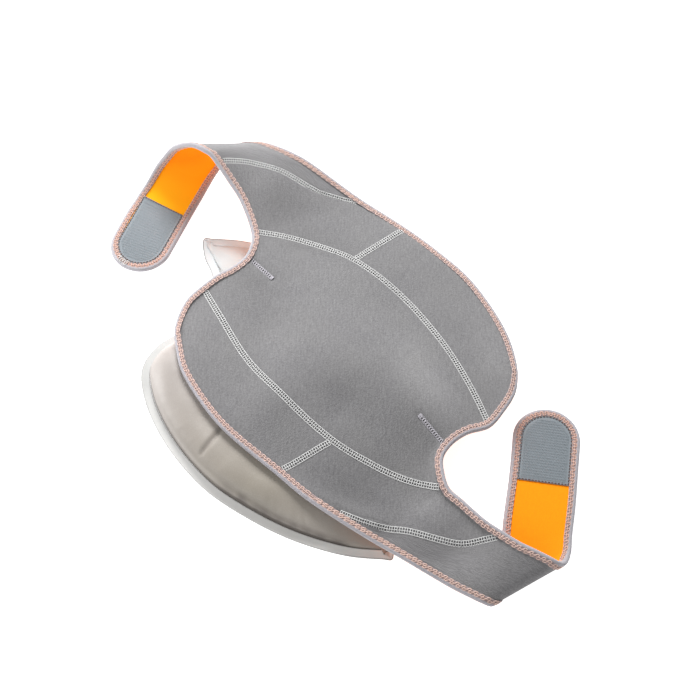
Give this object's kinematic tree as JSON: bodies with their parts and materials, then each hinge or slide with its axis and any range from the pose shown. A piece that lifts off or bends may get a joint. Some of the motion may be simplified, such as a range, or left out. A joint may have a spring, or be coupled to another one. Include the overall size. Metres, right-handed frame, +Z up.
{
  "type": "hot and cold knee wrap",
  "caption": "Padded fabric knee wrap with notched lens-shaped body, folded hook-tipped straps and bound edges, lying on a sealed gel pack that slides in for hot or cold use.",
  "frame": {"origin": "on the floor, on the flat underside of the gel pack, below the middle of the wrap", "axes": "+X along the straps from the looped strap to the folded strap, +Y along the leg away from the side where the gel pack shows, +Z up from the floor"},
  "size_m": [0.6116, 0.3479, 0.0754],
  "materials": {
    "grey_neoprene": "brushed loop knit laminated on foam",
    "orange_lining": "smooth knit",
    "hook_tape": "fine rows of hooks",
    "edge_binding": "woven stretch tape with zigzag stitching",
    "gel_film": "soft translucent film over gel",
    "welded_rim": "flat welded film"
  },
  "bodies": {
    "root": {"centre_panel": "grey_neoprene", "upper_side_panel": "grey_neoprene", "lower_side_panel": "grey_neoprene", "upper_strap_base": "grey_neoprene", "lower_strap_base": "grey_neoprene", "upper_strap": "grey_neoprene", "lower_strap": "grey_neoprene", "upper_strap_lining": "orange_lining", "lower_strap_lining": "orange_lining", "upper_hook_patch": "hook_tape", "lower_hook_patch": "hook_tape", "upper_binding": "edge_binding", "lower_binding": "edge_binding", "gel_pack": "gel_film", "gel_pack_rim": "welded_rim"}
  },
  "joints": []
}
